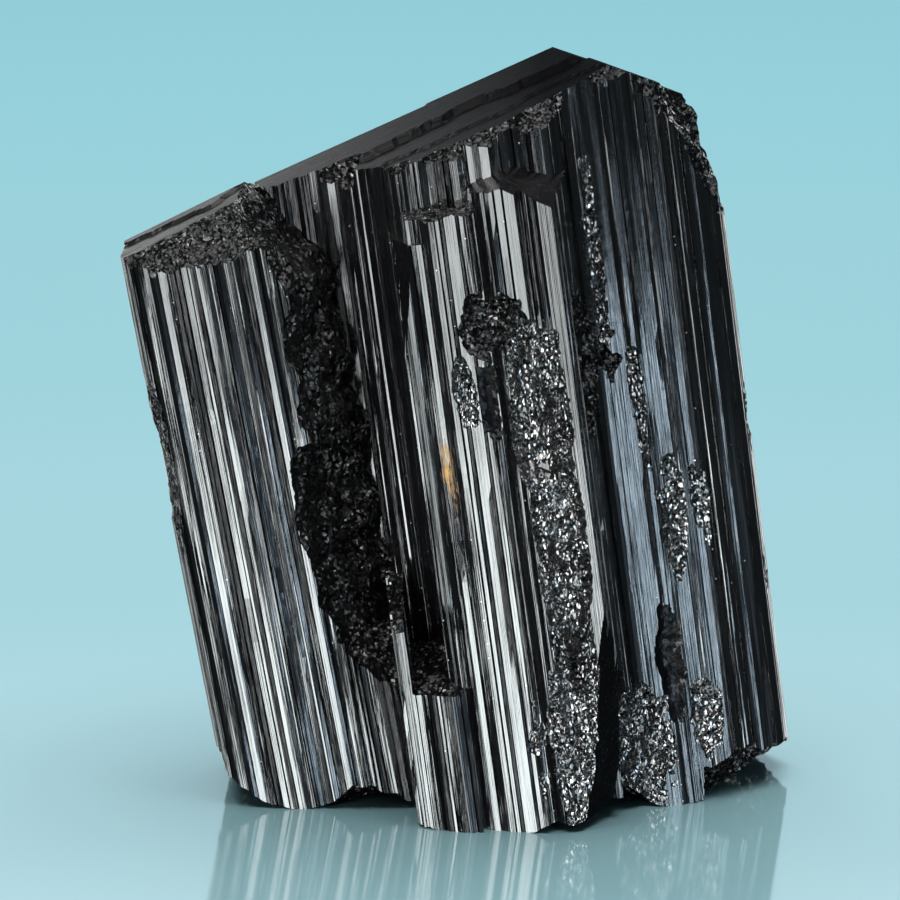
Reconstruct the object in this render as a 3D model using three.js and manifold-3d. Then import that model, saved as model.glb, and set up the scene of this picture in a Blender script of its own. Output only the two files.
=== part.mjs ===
// A black tourmaline (schorl) crystal standing on its broken foot. Millimetres, +Z up, front towards -Y.
//
// Several columns grew side by side along nearly the same long axis and fused into one stone. Each column is a
// prism whose sides carry growth striae, fine ridges that run along the axis. A low three-sided pyramid ends the
// main column, and broken, granular surfaces mark where slivers of the stone have spalled off.

import * as THREE from 'three';
import { mergeVertices } from 'three/addons/utils/BufferGeometryUtils.js';
import Module from 'manifold-3d';

const wasm = await Module();
wasm.setup();

// Growth axes: degrees that a column's long axis tips to the left of upright.
const MAIN_LEAN = 7.6;
const LEFT_LEAN = 10;

// Columns are extruded from below the table to above the peak, and then ended by faces and breaks.
const COLUMN_ROOT = 12;
const COLUMN_LENGTH = 104;

// Growth striae: mean width, depth of the deepest groove, and the share of a stria taken by its riser.
const STRIA_PITCH = 0.95;
const STRIA_DEPTH = 0.3;
const STRIA_RISER = 0.1;

// Broken surfaces: size of one facet, and how far its corners stray.
const BREAK_CELL = 1.7;
const BREAK_RELIEF = 0.55;

// A cutter is made this much larger than the stone, so that it clears it on every open side.
const CLEAR = 60;

// Plans at table level, counterclockwise from the left front. Only the corners of the prism faces are listed.
const MAIN_PLAN = [
  [-12.3, 24], [-2.5, 18.5], [2.5, 9], [5, 6.5], [12, 5.6], [17.5, 7], [19.6, 10], [28.3, 13.5],
  [33.4, 19], [34.1, 25], [28, 36], [14, 43.5], [-2, 43], [-12.5, 35],
];
const LEFT_PLAN = [
  [-22.9, 14.5], [-21.9, 11], [-16, 9.4], [-8, 9.2], [-2, 10.6], [-0.5, 20], [-6, 32], [-16, 34], [-22.8, 26],
];
const RIDGE_PLAN = [[2.4, 11], [3.2, 3.4], [5.5, 1.7], [9.1, 1.5], [10.2, 3], [10.4, 11]];
const SPUR_PLAN = [[9, 11], [9.4, 2.8], [12, 0.9], [15, 0.8], [17.1, 2.8], [19.3, 11]];
const TOE_PLAN = [[-4.5, 20], [-2.9, 6.2], [-1.3, 1.3], [2.6, 0.5], [6.9, 1.4], [9, 5], [9, 20]];

// Growth faces that end the columns: a point on the face, the compass direction in which it dips, and its dip.
// Compass directions are degrees counterclockwise from +X.
const PEAK = [13.4, 11.5, 74.6];
const MAIN_END_FACES = [
  { through: PEAK, towards: 182, dip: 24.4 },
  { through: PEAK, towards: 18.4, dip: 20.8 },
  { through: [-5, 31.5, 66.6], towards: 130, dip: 35 },
  { through: [22.5, 22, 69.6], towards: -8, dip: 66 },
];
const LEFT_END_FACES = [
  { through: [-22, 18, 60.8], towards: 182, dip: 26.4 },
  { through: [-22, 20.5, 60.8], towards: 131, dip: 37 },
];
const RIDGE_END_FACES = [{ through: [-2, 4, 60.9], towards: 190, dip: 12 }];
const SPUR_END_FACES = [
  { through: [4.4, 2, 64.4], towards: 182, dip: 22 },
  { through: [4.4, 2, 64.4], towards: -30, dip: 24 },
];

// The front of the main end face lies a step lower than the thin slab left behind it.
const SLAB_STEP = 0.9;
const SLAB_FRONT = [-3, 23, 67.2];

// The broken base: its general height, and the places where it comes down to the table or rises clear of it.
const BASE_HEIGHT = 1.2;
const BASE_SWELLS = [
  { at: [2.6, 3.6], reach: 6, rise: -2.6 },
  { at: [-15, 12.5], reach: 5, rise: -2.6 },
  { at: [-11, 27], reach: 5, rise: -2.2 },
  { at: [4, 22.5], reach: 7, rise: -2.4 },
  { at: [6, 37], reach: 6, rise: -2.2 },
  { at: [23, 25], reach: 6, rise: -2.2 },
  { at: [-24.5, 15], reach: 5.5, rise: 4 },
  { at: [35, 20], reach: 6.5, rise: 3.2 },
  { at: [21.5, 12.5], reach: 5, rise: -1.6 },
  { at: [-9.8, 9], reach: 2.6, rise: 2.2 },
  { at: [16.5, 8], reach: 3, rise: 1.6 },
];

// Repeatable random numbers from 0 to 1.
function randomFrom(seed) {
  let state = seed;
  return () => {
    state = (state + 0x6d2b79f5) | 0;
    let mixed = Math.imul(state ^ (state >>> 15), 1 | state);
    mixed = (mixed + Math.imul(mixed ^ (mixed >>> 7), 61 | mixed)) ^ mixed;
    return ((mixed ^ (mixed >>> 14)) >>> 0) / 4294967296;
  };
}

// A closed three.js geometry as a solid that can be joined and cut.
function solidOf(geometry) {
  const bare = geometry.clone();
  bare.deleteAttribute('normal');
  bare.deleteAttribute('uv');
  const merged = mergeVertices(bare, 1e-4);
  return new wasm.Manifold(new wasm.Mesh({
    numProp: 3,
    vertProperties: merged.attributes.position.array,
    triVerts: new Uint32Array(merged.index.array),
  }));
}

// A solid back as a three.js geometry.
function geometryOf(solid) {
  const mesh = solid.getMesh();
  const geometry = new THREE.BufferGeometry();
  geometry.setAttribute('position', new THREE.BufferAttribute(mesh.vertProperties, mesh.numProp));
  geometry.setIndex(new THREE.BufferAttribute(mesh.triVerts, 1));
  return geometry;
}

// The plan with each side broken into striae: flat facets at random depths, with a short riser between two.
function striatedOutline(plan, seed) {
  const random = randomFrom(seed);
  const outline = [];
  plan.forEach(([x, y], i) => {
    const start = new THREE.Vector2(x, y);
    const side = new THREE.Vector2(...plan[(i + 1) % plan.length]).sub(start);
    const inward = new THREE.Vector2(-side.y, side.x).normalize();
    const count = Math.max(1, Math.round(side.length() / STRIA_PITCH));
    const widths = Array.from({ length: count }, () => 0.4 + 1.2 * random());
    const total = widths.reduce((sum, width) => sum + width, 0);
    let reached = 0;
    widths.forEach((width, n) => {
      const depths = [n === 0 ? 0 : random() ** 2, n === count - 1 ? 0 : random() ** 2];
      [STRIA_RISER, 1 - STRIA_RISER].forEach((share, end) => {
        const point = start.clone().addScaledVector(side, (reached + width * share) / total);
        outline.push(point.addScaledVector(inward, STRIA_DEPTH * depths[end]));
      });
      reached += width;
    });
  });
  return outline;
}

// A striated prism, tipped over to its growth axis.
function column(plan, lean, seed, length = COLUMN_LENGTH) {
  const outline = new THREE.Shape(striatedOutline(plan, seed));
  const geometry = new THREE.ExtrudeGeometry(outline, { depth: length, bevelEnabled: false });
  geometry.translate(0, 0, -COLUMN_ROOT);
  geometry.rotateY(THREE.MathUtils.degToRad(-lean));
  return solidOf(geometry);
}

// Everything above a growth face.
function above({ through, towards, dip }) {
  const geometry = new THREE.BoxGeometry(2 * CLEAR, 2 * CLEAR, 2 * CLEAR);
  geometry.translate(0, 0, CLEAR);
  geometry.rotateY(THREE.MathUtils.degToRad(dip));
  geometry.rotateZ(THREE.MathUtils.degToRad(towards));
  geometry.translate(...through);
  return solidOf(geometry);
}

// A closed box whose vertices are shared, so that each corner can be moved on its own.
function softBox(size, cell) {
  const segments = size.map((length) => Math.max(1, Math.round(length / cell)));
  const box = new THREE.BoxGeometry(...size, ...segments);
  box.deleteAttribute('normal');
  box.deleteAttribute('uv');
  return mergeVertices(box, 1e-4);
}

// A block with uneven faces, which leaves a granular broken surface where it cuts. Its underside lies on the break:
// through a point, dipping towards a compass direction, and leaning with the column it breaks. The size is given
// down the dip, along the strike and away from the stone.
function breakBlock({ through, towards, dip, lean = 0, size, cell = BREAK_CELL, relief = BREAK_RELIEF, seed }) {
  const random = randomFrom(seed);
  const geometry = softBox(size, cell);
  const position = geometry.attributes.position;
  for (let i = 0; i < position.count; i += 1) {
    const stray = [0, 1, 2].map(() => relief * (2 * random() - 1));
    position.setXYZ(i, position.getX(i) + stray[0], position.getY(i) + stray[1], position.getZ(i) + stray[2]);
  }
  geometry.translate(0, 0, size[2] / 2);
  geometry.rotateY(THREE.MathUtils.degToRad(dip));
  geometry.rotateZ(THREE.MathUtils.degToRad(towards));
  geometry.rotateY(THREE.MathUtils.degToRad(-lean));
  geometry.translate(...through);
  return solidOf(geometry);
}

// Height of the broken base above the table before it is trimmed by the table itself.
function baseHeight(x, y) {
  return BASE_SWELLS.reduce((height, { at, reach, rise }) => {
    const distance = Math.hypot(x - at[0], y - at[1]) / reach;
    return height + rise * Math.exp(-distance * distance);
  }, BASE_HEIGHT);
}

// Everything below the broken base, which is flat where the stone stands on the table.
function belowBase(seed) {
  const random = randomFrom(seed);
  const thickness = 20;
  const geometry = softBox([88, 66, thickness], 1.3 * BREAK_CELL).translate(4, 22, -thickness / 2);
  const position = geometry.attributes.position;
  for (let i = 0; i < position.count; i += 1) {
    if (position.getZ(i) > -1e-3) {
      const height = baseHeight(position.getX(i), position.getY(i)) + BREAK_RELIEF * (2 * random() - 1);
      position.setZ(i, Math.max(0, height));
    }
  }
  return solidOf(geometry);
}

function endedBy(solid, faces) {
  return faces.reduce((rest, face) => rest.subtract(above(face)), solid);
}

function brokenBy(solid, breaks) {
  return breaks.reduce((rest, block) => rest.subtract(breakBlock(block)), solid);
}

// The main column: tallest, with the pyramid on top and a thin slab left on its main face.
function mainColumn() {
  const [leftFace] = MAIN_END_FACES;
  const trim = new THREE.BoxGeometry(2 * CLEAR, CLEAR, CLEAR);
  trim.translate(0, -CLEAR / 2, CLEAR / 2 - SLAB_STEP);
  trim.rotateZ(THREE.MathUtils.degToRad(4));
  trim.rotateY(THREE.MathUtils.degToRad(-leftFace.dip));
  trim.translate(...SLAB_FRONT);
  return endedBy(column(MAIN_PLAN, MAIN_LEAN, 11), MAIN_END_FACES).subtract(solidOf(trim));
}

// The left column. Its right edge has broken away down to a sloping ledge, which leaves a gully beside the main
// column. Its front top edge and its left edge are broken too.
function leftColumn() {
  const breaks = [
    { through: [-14.3, 14.7, 50], towards: -27, dip: 90, size: [66, 30, 14], lean: LEFT_LEAN, seed: 21 },
    { through: [-9.2, 14, 15.6], towards: -37.5, dip: 57.7, size: [14, 26, 16], seed: 22 },
    { through: [-26, 11.4, 56.6], towards: -108, dip: 47, size: [14, 34, 10], seed: 23 },
    { through: [-32.2, 12.6, 55.2], towards: 205, dip: 62, size: [9, 14, 6], seed: 25 },
    { through: [-27.7, 13, 31], towards: 195, dip: 90, size: [21, 16, 6], lean: LEFT_LEAN - 3.4, seed: 24 },
    { through: [-18.5, 20, 58.6], towards: -14, dip: 46, size: [16, 36, 12], seed: 26 },
  ];
  return brokenBy(endedBy(column(LEFT_PLAN, LEFT_LEAN, 12), LEFT_END_FACES), breaks);
}

// The front ridge: a narrow column that ends short of the peak.
function ridgeColumn() {
  return endedBy(column(RIDGE_PLAN, MAIN_LEAN, 13), RIDGE_END_FACES);
}

// The spur beside the ridge: its lower front has spalled off, down to a thin strip on its right edge.
function spurColumn() {
  const breaks = [
    { through: [8.2, 3.9, 26], towards: -82, dip: 90, size: [46, 7.2, 9], lean: MAIN_LEAN, seed: 31 },
    { through: [14.4, 5, 8], towards: -70, dip: 84, size: [22, 12, 12], lean: MAIN_LEAN, seed: 32 },
  ];
  return brokenBy(endedBy(column(SPUR_PLAN, MAIN_LEAN, 14), SPUR_END_FACES), breaks);
}

// The toe: a short column at the foot of the ridge, on which the stone stands. Its top is broken.
function toeColumn() {
  const breaks = [{ through: [-2, 8, 15], towards: 216, dip: 52, size: [60, 40, 26], seed: 33 }];
  return brokenBy(column(TOE_PLAN, MAIN_LEAN, 15, COLUMN_ROOT + 26), breaks);
}

// Pits and chips in the fused stone.
const CHIPS = [
  { through: [12.2, 7.2, 44.6], towards: -64, dip: 90, size: [9, 5, 6], lean: MAIN_LEAN, seed: 41 },
  { through: [9.4, 8.6, 70.2], towards: -100, dip: 56, size: [7, 6.5, 7], seed: 42 },
  { through: [28.2, 20.4, 50.5], towards: -14, dip: 90, size: [4, 5, 4], lean: MAIN_LEAN, seed: 43 },
  { through: [17.6, 9.4, 4], towards: -64, dip: 86, size: [16, 3.6, 6], lean: MAIN_LEAN, seed: 44 },
  { through: [24, 13.4, 4.5], towards: -70, dip: 78, size: [6, 4, 4], lean: MAIN_LEAN, seed: 45 },
];

// The fused stone, moved so that its box stands centred on the origin.
function crystalGeometry() {
  const columns = [leftColumn(), ridgeColumn(), spurColumn(), toeColumn()];
  const fused = columns.reduce((stone, part) => stone.add(part), mainColumn());
  const geometry = geometryOf(brokenBy(fused, CHIPS).subtract(belowBase(51)));
  geometry.computeBoundingBox();
  const { min, max } = geometry.boundingBox;
  return geometry.translate(-(min.x + max.x) / 2, -(min.y + max.y) / 2, -min.z);
}

const schorl = new THREE.MeshStandardMaterial({ color: 0x101214, roughness: 0.22, metalness: 0, flatShading: true });
const crystal = new THREE.Mesh(crystalGeometry(), schorl);
crystal.name = 'crystal';

const stone = new THREE.Group();
stone.add(crystal);

export default stone;
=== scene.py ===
"""A black tourmaline (schorl) crystal on a pale floor.

The crystal is one stone: striated columns that grew side by side along nearly the same axis and fused. It is
modelled in millimetres on the same plan as its solid, and moved to the solid's frame in metres at the end.
"""
import functools
import logging
import math
import random
from dataclasses import dataclass, field
from enum import Enum, IntEnum

import bmesh
import bpy
from mathutils import Euler, Matrix, Vector, noise


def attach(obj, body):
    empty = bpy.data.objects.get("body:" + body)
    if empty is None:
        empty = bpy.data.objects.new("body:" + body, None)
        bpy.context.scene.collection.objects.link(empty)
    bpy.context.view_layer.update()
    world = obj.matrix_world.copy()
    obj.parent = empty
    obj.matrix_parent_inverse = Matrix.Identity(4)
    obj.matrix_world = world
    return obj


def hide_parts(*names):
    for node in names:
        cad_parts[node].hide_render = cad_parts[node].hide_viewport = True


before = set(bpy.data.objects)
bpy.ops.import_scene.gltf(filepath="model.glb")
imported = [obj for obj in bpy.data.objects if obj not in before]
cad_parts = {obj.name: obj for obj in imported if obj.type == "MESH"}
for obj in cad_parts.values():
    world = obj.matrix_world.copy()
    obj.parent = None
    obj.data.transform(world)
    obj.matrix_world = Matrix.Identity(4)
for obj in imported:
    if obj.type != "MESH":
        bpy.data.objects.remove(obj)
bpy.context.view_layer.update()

LOG = logging.getLogger("tourmaline")

MM = 0.001
NODE = "crystal"
BODY = "root"
PIECE = "striated_crystal"
STAIN = "iron_stain"

# The point of the plan that stands on the frame's origin, in millimetres.
PLAN_CENTRE = Vector((0.516, 22.008, 0.0))

# Degrees that the growth axes tip to the left of upright.
MAIN_LEAN = 7.6
LEFT_LEAN = 10.0

# Fractal noise: how fast its detail fades, how much finer each octave is, and how many octaves it has.
EDGE_NOISE = (0.7, 2.2, 4)
BREAK_NOISE = (0.9, 2.1, 3)

# Steps through the noise that keep neighbours from looking alike.
PLATE_STEP = 9.0
SEED_STEP = 3.1
WAVER_STEP = 3.7
STRAY_STEP = 1.9
STRAY_SHIFT = 50.0


class Surface(IntEnum):
    """What a face of the stone is, and the index of its material slot."""

    MAIN_PRISM = 0
    LEFT_PRISM = 1
    END_FACE = 2
    GRANULAR = 3
    HACKLY = 4
    PARTING = 5


class Operation(Enum):
    """How a second solid changes the stone."""

    JOIN = "UNION"
    CUT = "DIFFERENCE"


@dataclass(frozen=True)
class Striation:
    """How one prism face is striated.

    Attributes:
        rib: mean width of a rib, mm.
        tilt: steepest slope of a rib's face against the prism face.
        groove: depth of the deepest groove, mm.
        gap: width of the widest groove, mm.
        seam: share of the ribs that a groove parts from the next one.
    """

    rib: float
    tilt: float
    groove: float
    gap: float
    seam: float


RIBBED = Striation(rib=0.4, tilt=0.6, groove=0.4, gap=0.2, seam=0.7)
BROAD = Striation(rib=0.5, tilt=0.55, groove=0.42, gap=0.24, seam=0.65)
FINE = Striation(rib=0.32, tilt=0.6, groove=0.34, gap=0.18, seam=0.65)
SHALLOW = Striation(rib=0.3, tilt=0.5, groove=0.26, gap=0.16, seam=0.5)
SATIN = Striation(rib=0.7, tilt=0.25, groove=0.2, gap=0.14, seam=0.5)
SMOOTH = Striation(rib=1.4, tilt=0.05, groove=0.1, gap=0.1, seam=0.1)
REAR = Striation(rib=0.62, tilt=0.5, groove=0.4, gap=0.22, seam=0.65)


@dataclass(frozen=True)
class PrismSide:
    """A corner of a column's plan, and the side that starts there.

    Attributes:
        x: the corner's place in plan, mm.
        y: the corner's place in plan, mm.
        striation: how the side is striated.
    """

    x: float
    y: float
    striation: Striation


@dataclass
class Stria:
    """One line along the column at which a rib's face bends or a groove bottoms.

    Attributes:
        along: distance from the start of the side, mm.
        depth: depth below the prism face, mm.
        sway: how far it may stray sideways, mm.
        chips: stretches (low, high, extra depth) over which its rib is chipped away, mm.
    """

    along: float
    depth: float
    sway: float = 0.0
    chips: tuple[tuple[float, float, float], ...] = ()


@dataclass(frozen=True)
class RingPoint:
    """Where a stria stands on its column's plan.

    Attributes:
        place: its place on the prism face, mm.
        run: the direction in which its side runs.
        inward: the direction into the column.
        stria: the stria.
    """

    place: Vector
    run: Vector
    inward: Vector
    stria: Stria


@dataclass(frozen=True)
class Habit:
    """How much the striae of every column vary.

    Attributes:
        spread: spread of the ribs' widths about their mean, as the sigma of a lognormal law.
        widths: the narrowest and widest rib, as shares of the mean.
        gaps: the narrowest and widest groove, as shares of the widest.
        margin: room that is left at the end of a side, mm.
        edges: depth of the deepest edge of a rib, as a share of the deepest groove.
        starts: depths at which the next rib may start, as shares of the deepest groove.
        bottoms: depths of a groove below the ribs beside it, as shares of the deepest groove.
        wide: width from which a rib is crowned, mm.
        crown: height of a crown, as a share of the rib's width.
        crowns: where a crown may lie, as shares of the rib's width.
        crown_sway: how far a crown strays sideways, as a share of the rib's width.
        edge_sway: how far an edge strays sideways, as a share of the rib's width.
        sway_length: length over which a stria strays to one side, mm.
        waver: how far the depth of a stria wavers, mm.
        waver_length: length over which it wavers, mm.
        chipped: likelihood that a rib has one more chip.
        chip_depth: depth of the deepest chip, as a share of the deepest groove.
        chip_depths: depths of a chip, as shares of the deepest one.
        chip_lengths: usual lengths of a chip, mm.
        chip_spread: shortest and longest chip, as shares of a usual length.
        chip_run: length over which a chip deepens from its lower end, mm.
        row_jitter: how unevenly the rows of facets are spaced, as a share of a row.
    """

    spread: float = 0.45
    widths: tuple[float, float] = (0.35, 2.4)
    gaps: tuple[float, float] = (0.4, 1.0)
    margin: float = 0.2
    edges: float = 0.6
    starts: tuple[float, float] = (0.0, 0.45)
    bottoms: tuple[float, float] = (0.35, 0.8)
    wide: float = 0.7
    crown: float = 0.07
    crowns: tuple[float, float] = (0.35, 0.65)
    crown_sway: float = 0.08
    edge_sway: float = 0.05
    sway_length: float = 15.0
    waver: float = 0.05
    waver_length: float = 11.0
    chipped: float = 0.45
    chip_depth: float = 0.7
    chip_depths: tuple[float, float] = (0.25, 1.0)
    chip_lengths: tuple[float, ...] = (6.0, 12.0, 28.0)
    chip_spread: tuple[float, float] = (0.6, 1.3)
    chip_run: float = 4.0
    row_jitter: float = 0.3


HABIT = Habit()


def turned(through: tuple[float, float, float], towards: float, dip: float, lean: float = 0.0) -> Matrix:
    """Places a tool whose flat side looks down -Z, so that the flat side dips towards a compass direction.

    Args:
        through: a point on the flat side, mm.
        towards: the compass direction of the dip, degrees counterclockwise from +X.
        dip: the dip, degrees.
        lean: how far the whole tool tips to the left with its column, degrees.

    Returns:
        The tool's matrix.
    """
    leaning = Matrix.Rotation(math.radians(-lean), 4, "Y")
    facing = Matrix.Rotation(math.radians(towards), 4, "Z")
    dipping = Matrix.Rotation(math.radians(dip), 4, "Y")
    return Matrix.Translation(through) @ leaning @ facing @ dipping


def drawn(name: str, bm: bmesh.types.BMesh) -> bpy.types.Object:
    """Makes a closed mesh object of a bmesh, with its faces pointing outwards.

    Args:
        name: the object's name.
        bm: the shape, which is freed.

    Returns:
        The object, linked to the scene.
    """
    bmesh.ops.recalc_face_normals(bm, faces=bm.faces)
    if bm.calc_volume(signed=True) < 0.0:
        bmesh.ops.reverse_faces(bm, faces=bm.faces)
    mesh = bpy.data.meshes.new(name)
    bm.to_mesh(mesh)
    bm.free()
    thing = bpy.data.objects.new(name, mesh)
    bpy.context.collection.objects.link(thing)
    return thing


def shaped(name: str, bm: bmesh.types.BMesh, surface: Surface) -> bpy.types.Object:
    """Makes an object of a piece of stone or of what is cut from it, with a slot for each kind of surface.

    Args:
        name: the object's name.
        bm: the shape, which is freed.
        surface: what its faces are, or leave on the stone that they cut.

    Returns:
        The object, linked to the scene.
    """
    for face in bm.faces:
        face.material_index = surface
    thing = drawn(name, bm)
    for kind in Surface:
        thing.data.materials.append(finish(kind))
    return thing


def second_skin(bm: bmesh.types.BMesh) -> list[bmesh.types.BMVert]:
    """Closes a sheet to a solid with a copy of itself.

    Args:
        bm: the sheet.

    Returns:
        The copy's vertices, still in the sheet's place.
    """
    made = bmesh.ops.extrude_face_region(bm, geom=list(bm.faces))["geom"]
    return [part for part in made if isinstance(part, bmesh.types.BMVert)]


def combine(stone: bpy.types.Object, tool: bpy.types.Object, operation: Operation) -> None:
    """Joins a tool to the stone or cuts it away, and removes the tool.

    Args:
        stone: the object that is changed.
        tool: the other solid.
        operation: what is done with it.
    """
    modifier = stone.modifiers.new("combine", "BOOLEAN")
    modifier.solver = "MANIFOLD"
    modifier.operation = operation.value
    modifier.object = tool
    result = stone.evaluated_get(bpy.context.evaluated_depsgraph_get())
    mesh = bpy.data.meshes.new_from_object(result)
    stone.modifiers.clear()
    before = stone.data
    stone.data = mesh
    bpy.data.meshes.remove(before)
    spent = tool.data
    bpy.data.objects.remove(tool)
    bpy.data.meshes.remove(spent)


@dataclass(frozen=True)
class Plate:
    """A growth plate on an end face, with a ragged front edge.

    Attributes:
        edge: where its front edge runs, mm along the strike from the face's point.
        skew: how far the edge swings along the strike per mm down the dip.
        drop: how far the face lies lower in front of the edge, mm.
        slope: how far the edge slopes, mm.
        ragged: how far the edge wanders, mm.
        wave: length over which it wanders, mm.
    """

    edge: float
    skew: float
    drop: float
    slope: float = 0.22
    ragged: float = 2.4
    wave: float = 8.0

    def step(self, place: Vector) -> float:
        """Finds how far the plate's edge lowers the face.

        Args:
            place: a place on the face, down the dip and along the strike, mm.

        Returns:
            The step down at that place, mm.
        """
        along = Vector((place.x / self.wave, 0.0, PLATE_STEP * self.edge))
        wander = self.ragged * noise.fractal(along, *EDGE_NOISE)
        past = place.y - self.edge - self.skew * place.x - wander
        return self.drop * min(1.0, max(0.0, past / self.slope))


@dataclass(frozen=True)
class EndFace:
    """A growth face that ends a column, smooth but for the plates it is built of.

    Attributes:
        through: a point on the face, mm.
        towards: the compass direction in which it dips, degrees.
        dip: its dip, degrees.
        plates: the plates on it.
        reach: half its size, mm.
        room: height that it clears above it, mm.
        cell: how finely the edges of the plates are drawn, mm.
        surface: what the face looks like.
    """

    through: tuple[float, float, float]
    towards: float
    dip: float
    plates: tuple[Plate, ...] = ()
    reach: float = 44.0
    room: float = 60.0
    cell: float = 0.5
    surface: Surface = Surface.END_FACE

    def tool(self) -> bpy.types.Object:
        """Makes the solid that the face cuts off, which is everything above it.

        Returns:
            The solid.
        """
        bm = bmesh.new()
        count = round(2 * self.reach / self.cell) if self.plates else 1
        bmesh.ops.create_grid(bm, x_segments=count, y_segments=count, size=self.reach)
        for vert in bm.verts:
            for plate in self.plates:
                vert.co.z -= plate.step(vert.co)
        bmesh.ops.translate(bm, verts=second_skin(bm), vec=(0.0, 0.0, self.room))
        bm.transform(turned(self.through, self.towards, self.dip))
        return shaped("end_face", bm, self.surface)


@dataclass(frozen=True)
class Break:
    """A broken surface: a scooped, uneven face that spalling left.

    Attributes:
        through: the deepest point of the break, mm.
        towards: the compass direction in which it dips, degrees.
        dip: its dip, degrees.
        size: its size down the dip and along the strike, and the room cleared above it, mm.
        lean: how far it tips to the left with its column, degrees.
        surface: what the break looks like.
        bowl: how far its rim rises out of the stone, mm.
        swell: height of the broad waves in the break, mm.
        wave: length of those waves, mm.
        splinter: height of the splinters that run down the dip, mm.
        splinter_size: length and width of a splinter, mm.
        grain: how far a lump's corners stray up or down, mm.
        cell: size of a lump, mm.
        stray: how far a lump's corners stray sideways, as a share of its size.
        seed: where its random shapes start.
    """

    through: tuple[float, float, float]
    towards: float
    dip: float
    size: tuple[float, float, float]
    lean: float = 0.0
    surface: Surface = Surface.GRANULAR
    bowl: float = 0.0
    swell: float = 0.8
    wave: float = 6.0
    splinter: float = 0.0
    splinter_size: tuple[float, float] = (7.0, 0.9)
    grain: float = 0.08
    cell: float = 0.36
    stray: float = 0.35
    seed: int = 0

    def _height(self, place: Vector) -> float:
        """Finds how far the break stands above its plane.

        Args:
            place: a place on the plane, down the dip and along the strike, mm.

        Returns:
            The height at that place, mm.
        """
        shift = Vector((0.0, 0.0, SEED_STEP * self.seed))
        down, strike, _ = self.size
        rim = (2.0 * place.x / down) ** 2 + (2.0 * place.y / strike) ** 2
        height = self.bowl * rim + self.swell * noise.fractal(place / self.wave + shift, *BREAK_NOISE)
        length, width = self.splinter_size
        thin = Vector((place.x / length, place.y / width, 0.0))
        return height + self.splinter * noise.noise(thin + shift)

    def tool(self) -> bpy.types.Object:
        """Makes the solid that the break has taken off the stone.

        Returns:
            The solid.
        """
        down, strike, room = self.size
        rng = random.Random(self.seed)
        bm = bmesh.new()
        bmesh.ops.create_grid(
            bm, x_segments=round(down / self.cell), y_segments=round(strike / self.cell), size=0.5,
        )
        bmesh.ops.scale(bm, verts=bm.verts, vec=(down, strike, 1.0))
        sideways = self.stray * self.cell
        for vert in bm.verts:
            stray = Vector([rng.uniform(-1.0, 1.0) for _ in range(3)])
            height = self._height(vert.co) + self.grain * stray.z
            vert.co += Vector((sideways * stray.x, sideways * stray.y, height))
        bmesh.ops.triangulate(bm, faces=bm.faces, quad_method="SHORT_EDGE")
        for vert in second_skin(bm):
            vert.co.z = room
        bm.transform(turned(self.through, self.towards, self.dip, self.lean))
        return shaped("break", bm, self.surface)


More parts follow.
